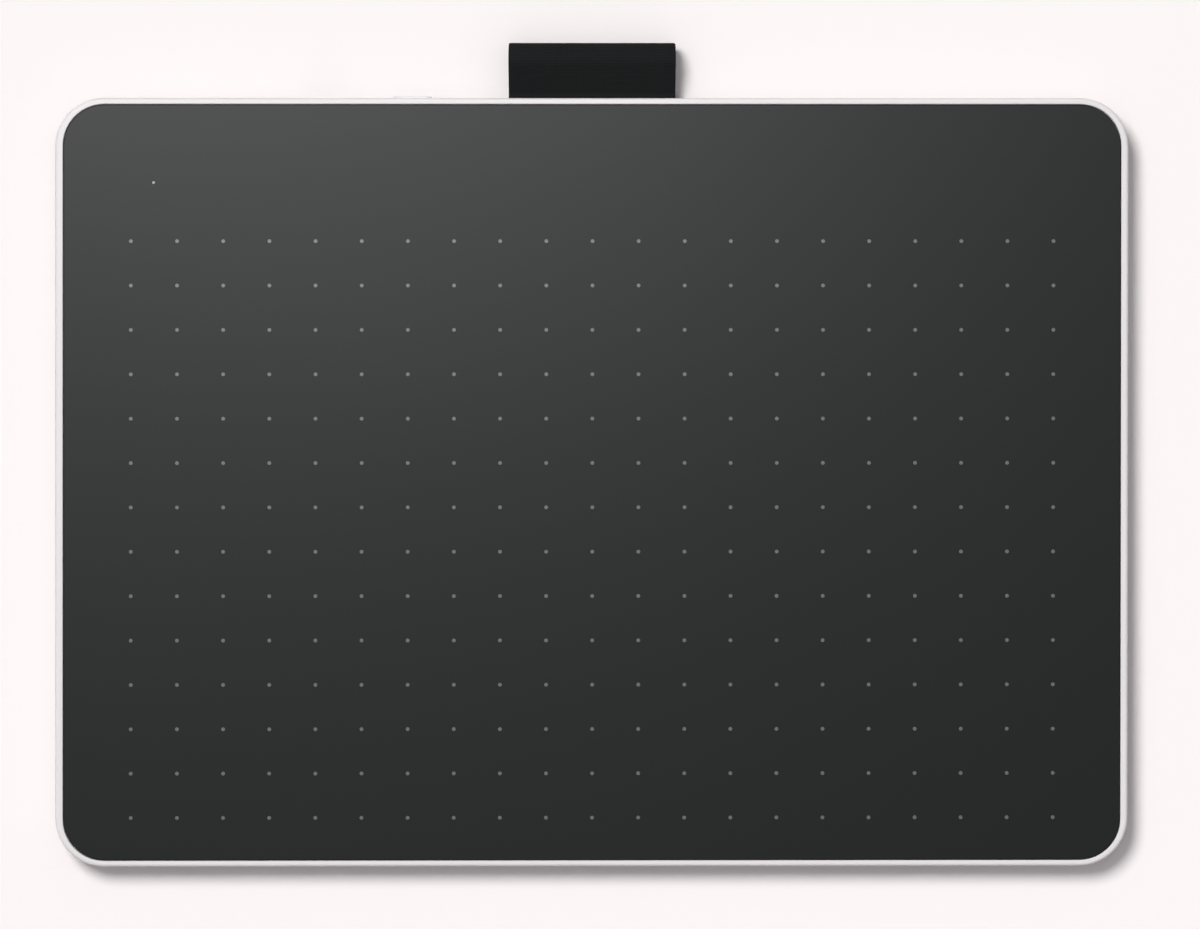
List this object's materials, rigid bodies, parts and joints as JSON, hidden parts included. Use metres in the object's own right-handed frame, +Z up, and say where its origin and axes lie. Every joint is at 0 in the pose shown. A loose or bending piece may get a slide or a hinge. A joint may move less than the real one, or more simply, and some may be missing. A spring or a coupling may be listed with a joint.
{
  "type": "graphics tablet",
  "caption": "Thin drawing tablet: pale tray, dark writing surface with a dot grid, status light, rear port, power button and woven pen loop.",
  "frame": {"origin": "on the desk plane, under the middle of the footprint with the pen loop included", "axes": "+X to the user's right, +Y away from the user towards the pen loop, +Z up"},
  "size_m": [0.2512, 0.1926, 0.008],
  "materials": {
    "case_plastic": "pale grey-white, fine spark-eroded matt",
    "button_plastic": "pale grey, satin",
    "cover_plastic": "near-black, matt",
    "sheet_film": "charcoal, finely toothed matt",
    "dot_ink": "grey printed ink",
    "clear_plastic": "clear, slightly milky",
    "lamp_resin": "white package with a yellow lens",
    "bonding_film": "translucent film",
    "circuit_board": "green solder mask",
    "copper": "etched copper",
    "amber_film": "amber polyimide",
    "shield_metal": "rolled sheet",
    "foam": "dark closed-cell foam",
    "chip_resin": "moulded black resin",
    "ceramic": "brown ceramic bodies with tinned ends",
    "connector_plastic": "ivory moulded",
    "port_plastic": "black moulded",
    "steel": "bright nickel-plated steel",
    "gold": "gold-plated",
    "pouch": "laminated pouch foil",
    "wire_insulation": "coloured soft insulation",
    "foot_rubber": "dark grey matt rubber",
    "strap_fabric": "black woven, finely ribbed"
  },
  "bodies": {
    "tablet": {"bottom_case": "case_plastic", "top_cover": "cover_plastic", "surface_sheet": "sheet_film", "grid_dots": "dot_ink", "foot_front_left": "foot_rubber", "foot_front_right": "foot_rubber", "foot_rear_left": "foot_rubber", "foot_rear_right": "foot_rubber", "case_screws": "steel", "sensor_adhesive": "bonding_film", "upright_coils": "copper", "sensor_board": "circuit_board", "level_coils": "copper", "insulating_film": "amber_film", "shield_plate": "shield_metal", "support_foam": "foam", "light_pipe": "clear_plastic", "status_led": "lamp_resin", "main_board": "circuit_board", "board_screws": "steel", "controller_chip": "chip_resin", "radio_module": "steel", "charger_chip": "chip_resin", "power_inductor": "chip_resin", "clock_crystal": "steel", "board_passives": "ceramic", "flex_connector": "connector_plastic", "sensor_flex": "amber_film", "battery_pack": "pouch", "battery_tape": "bonding_film", "battery_socket": "connector_plastic", "battery_plug": "connector_plastic", "battery_wires": "wire_insulation", "port_shell": "steel", "port_tongue": "port_plastic", "port_contacts": "gold", "switch_body": "chip_resin", "loop_tail": "strap_fabric", "loop_rod": "steel"},
    "power_button": {"power_button": "button_plastic", "switch_plunger": "connector_plastic"},
    "pen_loop": {"pen_loop": "strap_fabric"}
  },
  "joints": [
    {"name": "power_button_press", "type": "slide", "parent": "tablet", "child": "power_button", "axis": [0, -1, 0], "range_m": [0, 0.0003], "stiffness_N_per_m": 2000, "springref_m": -0.0003},
    {"name": "loop_flex", "type": "hinge", "parent": "tablet", "child": "pen_loop", "pos_m": [0, 0.08445, 0.00425], "axis": [1, 0, 0], "range_deg": [-3, 70], "stiffness_Nm_per_rad": 0.01}
  ]
}
